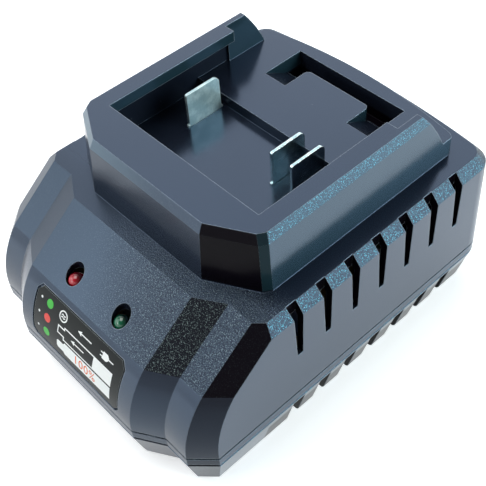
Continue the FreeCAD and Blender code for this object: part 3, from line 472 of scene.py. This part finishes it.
def patch(bm, corners):
    """A filled outline, corners in order."""
    bm.faces.new([bm.verts.new((across, up, 0.0)) for across, up in corners])


def line(bm, points, width):
    """A drawn line with mitred corners."""
    left, right = [], []
    for index, (across, up) in enumerate(points):
        before = Vector(points[index]) - Vector(points[max(index - 1, 0)])
        after = Vector(points[min(index + 1, len(points) - 1)]) - Vector(points[index])
        before = before.normalized() if before.length else after.normalized()
        after = after.normalized() if after.length else before
        way = (before + after).normalized()
        reach = width / 2.0 / max(way.dot(after), 0.3)
        side = Vector((-way.y, way.x)) * reach
        left.append((across + side.x, up + side.y))
        right.append((across - side.x, up - side.y))
    patch(bm, left + right[::-1])


def dot(bm, across, up, radius, segments=24):
    bmesh.ops.create_circle(bm, cap_ends=True, segments=segments, radius=radius,
                            matrix=Matrix.Translation((across, up, 0.0)))


def arrow(bm, tail, tip, up, width=0.38):
    """An arrow that points left, as one outline."""
    head, half = 1.6, 0.75
    neck = tip + head
    patch(bm, [(tail, up - width / 2), (tail, up + width / 2), (neck, up + width / 2),
               (neck + 0.15, up + half), (tip, up), (neck + 0.15, up - half), (neck, up - width / 2)])


DOT_ROWS = (17.4, 12.4, 7.2)


def white_marks():
    bm = bmesh.new()
    for up in DOT_ROWS:
        dot(bm, -17.7, up, 0.42, 12)
    arrow(bm, 6.1, -0.2, 17.4)
    arrow(bm, 4.0, -2.1, 12.5)
    ring = bmesh.ops.create_circle(bm, cap_ends=True, segments=32, radius=1.85,
                                   matrix=Matrix.Translation((-7.2, 17.4, 0.0)))
    disc = ring["verts"][0].link_faces[0]
    bmesh.ops.inset_individual(bm, faces=[disc], thickness=0.42)
    bmesh.ops.delete(bm, geom=[disc], context="FACES")
    for up in (17.0, 17.75):
        line(bm, [(-8.15, up - 0.15), (-7.6, up + 0.2), (-6.8, up - 0.2), (-6.25, up + 0.15)], 0.34)
    # Plug: two blades, a body and a length of lead
    line(bm, [(10.2, 18.0), (11.25, 18.0)], 0.34)
    line(bm, [(10.2, 16.85), (11.25, 16.85)], 0.34)
    patch(bm, [(11.2, 16.3), (13.1, 16.3), (13.9, 17.0), (13.9, 17.85), (13.1, 18.55), (11.2, 18.55)])
    line(bm, [(13.85, 17.45), (16.0, 17.45)], 0.36)
    # Battery being filled: an outline, and the part that is already full
    line(bm, [(8.3, 14.5), (-5.4, 14.5), (-5.4, 13.75), (-8.3, 13.75), (-8.3, 11.3), (-5.4, 11.3),
              (-5.4, 10.25), (8.3, 10.25)], 0.4)
    patch(bm, [(8.3, 10.05), (16.7, 10.05), (16.7, 14.7), (8.3, 14.7)])
    # Full battery
    patch(bm, [(-8.4, 6.2), (-7.9, 5.7), (-5.3, 5.7), (-4.7, 5.0), (16.6, 5.0), (16.6, 9.4), (-4.7, 9.4),
               (-5.3, 8.6), (-7.9, 8.6), (-8.4, 8.1)])
    return lay_on_wall("legend_white_marks", bm, ink("white_ink", (0.87, 0.89, 0.88), (0.94, 0.95, 0.93)))


def coloured_dots(name, rows, material):
    bm = bmesh.new()
    for up in rows:
        dot(bm, -13.7, up, 1.45, 28)
    return lay_on_wall(name, bm, material)


def charge_figure():
    """The figure on the full battery."""
    text = bpy.data.curves.new("charge_figure", "FONT")
    text.body = "100%"
    text.size = 4.4
    text.space_character = 1.1
    text.align_x = "CENTER"
    text.align_y = "CENTER"
    writing = bpy.data.objects.new("charge_figure", text)
    bpy.context.scene.collection.objects.link(writing)
    flat = bpy.data.meshes.new_from_object(writing)
    bpy.data.objects.remove(writing)
    bm = bmesh.new()
    bm.from_mesh(flat)
    bmesh.ops.remove_doubles(bm, verts=bm.verts[:], dist=0.0001)
    bmesh.ops.translate(bm, vec=(4.9, 7.15, INK_THICKNESS), verts=bm.verts[:])
    return lay_on_wall("legend_charge_figure", bm, ink("orange_ink", (0.72, 0.13, 0.04), (0.85, 0.22, 0.08)))


white_marks()
green_ink = ink("green_ink", (0.02, 0.36, 0.03), (0.06, 0.55, 0.05))
coloured_dots("legend_green_dots", (DOT_ROWS[0], DOT_ROWS[2]), green_ink)
red_ink = ink("red_ink", (0.62, 0.03, 0.02), (0.80, 0.07, 0.05))
coloured_dots("legend_red_dot", (DOT_ROWS[1],), red_ink)
charge_figure()


# Studio: floor with a cove, world and lamps

def studio():
    """Pale floor that turns up into a low wall all round."""
    radius, cove, wall_top = 2.2, 0.5, 1.1
    bm = bmesh.new()
    cove_steps = 8
    profile = [bm.verts.new((across, 0.0, 0.0)) for across in (0.0, 0.6, radius - cove)]
    for step in range(1, cove_steps + 1):
        turn = math.radians(90.0 * step / cove_steps)
        across = radius - cove + cove * math.sin(turn)
        profile.append(bm.verts.new((across, 0.0, cove - cove * math.cos(turn))))
    profile.append(bm.verts.new((radius, 0.0, wall_top)))
    edges = [bm.edges.new(pair) for pair in zip(profile[:-1], profile[1:])]
    bmesh.ops.spin(bm, geom=profile + edges, cent=(0, 0, 0), axis=(0, 0, 1), angle=2.0 * math.pi,
                   steps=64, use_merge=True)
    bmesh.ops.remove_doubles(bm, verts=bm.verts[:], dist=0.0001)
    bmesh.ops.recalc_face_normals(bm, faces=bm.faces[:])
    bm.faces.ensure_lookup_table()
    if min(bm.faces, key=lambda face: face.calc_center_median().length).normal.z < 0:
        bmesh.ops.reverse_faces(bm, faces=bm.faces[:])
    mesh = bpy.data.meshes.new("studio_floor")
    bm.to_mesh(mesh)
    bm.free()
    floor = bpy.data.objects.new("studio_floor", mesh)
    bpy.context.scene.collection.objects.link(floor)
    for polygon in mesh.polygons:
        polygon.use_smooth = True
    f = Finish("studio_white")
    x, y, z = f.axes(f.place())
    away = (x * x + y * y + z * z).square_root()
    rays = f.node("ShaderNodeLightPath")
    seen = rays.out("Is Camera Ray").either(rays.out("Is Glossy Ray"))
    seen = seen.either(rays.out("Is Transmission Ray"))
    paint = f.principled(Base_Color=tone(0.86, 0.86, 0.86), Roughness=0.9, Specular_IOR_Level=0.0)
    brightness = seen * (0.58 + 0.42 * away.rise(0.2, 1.0))
    glow = f.node("ShaderNodeEmission", None, {"Color": tone(1, 1, 1), "Strength": brightness}).out()
    both = f.node("ShaderNodeAddShader", None, {0: paint, 1: glow}).out()
    f.node("ShaderNodeOutputMaterial", None, {"Surface": both})
    mesh.materials.append(f.material)


def softbox(name, place, target, width, height, radiance, colour=(1.0, 1.0, 1.0)):
    """Rectangular lamp that faces its target, with its brightness given as radiance."""
    lamp = bpy.data.lights.new(name, "AREA")
    lamp.shape = "RECTANGLE"
    lamp.size = width
    lamp.size_y = height
    lamp.energy = radiance * math.pi * width * height
    lamp.color = colour
    holder = bpy.data.objects.new(name, lamp)
    bpy.context.scene.collection.objects.link(holder)
    holder.location = place
    holder.rotation_euler = (Vector(target) - Vector(place)).to_track_quat("-Z", "Y").to_euler()


def sky(colour, strength):
    world = bpy.data.worlds.new("studio_world")
    bpy.context.scene.world = world
    world.use_nodes = True
    f = Finish("studio_world", world.node_tree)
    light = f.node("ShaderNodeBackground", None, {"Color": tone(*colour), "Strength": strength}).out()
    f.node("ShaderNodeOutputWorld", None, {"Surface": light})


def camera():
    """Camera at the photograph's viewing angle, slightly rolled."""
    place = Vector((150.9, -121.0, 239.0)) * MM
    target = Vector((-17.0, 15.9, -2.4)) * MM
    roll = math.radians(-4.974)
    back = (place - target).normalized()
    level = Vector((0, 0, 1)).cross(back).normalized()
    upright = back.cross(level)
    right = level * math.cos(roll) + upright * math.sin(roll)
    up = upright * math.cos(roll) - level * math.sin(roll)
    eye = bpy.data.cameras.new("view")
    eye.sensor_width = 36.0
    eye.lens = 68.11
    eye.clip_start = 0.01
    eye.clip_end = 20.0
    holder = bpy.data.objects.new("view", eye)
    bpy.context.scene.collection.objects.link(holder)
    holder.matrix_world = Matrix.Translation(place) @ Matrix((right, up, back)).transposed().to_4x4()
    bpy.context.scene.camera = holder


studio()
middle = (0.0, 0.0, 0.03)
sky((0.88, 0.94, 1.0), 0.15)
softbox("overhead", (-0.22, -0.12, 0.92), middle, 0.6, 0.6, 4.2)
softbox("rear_left", (-0.58, 0.42, 0.62), middle, 1.0, 0.75, 1.3, (0.93, 0.95, 1.0))
softbox("front_left", (-0.55, -0.62, 0.52), middle, 0.6, 0.55, 2.2, (0.88, 0.98, 1.0))
softbox("rear_right", (0.72, 0.42, 0.36), middle, 0.6, 0.5, 7.2, (0.78, 0.97, 1.0))
softbox("front", (-0.23, -0.80, 0.34), middle, 0.14, 0.14, 15.0)
camera()
bpy.context.scene.view_settings.view_transform = "Standard"
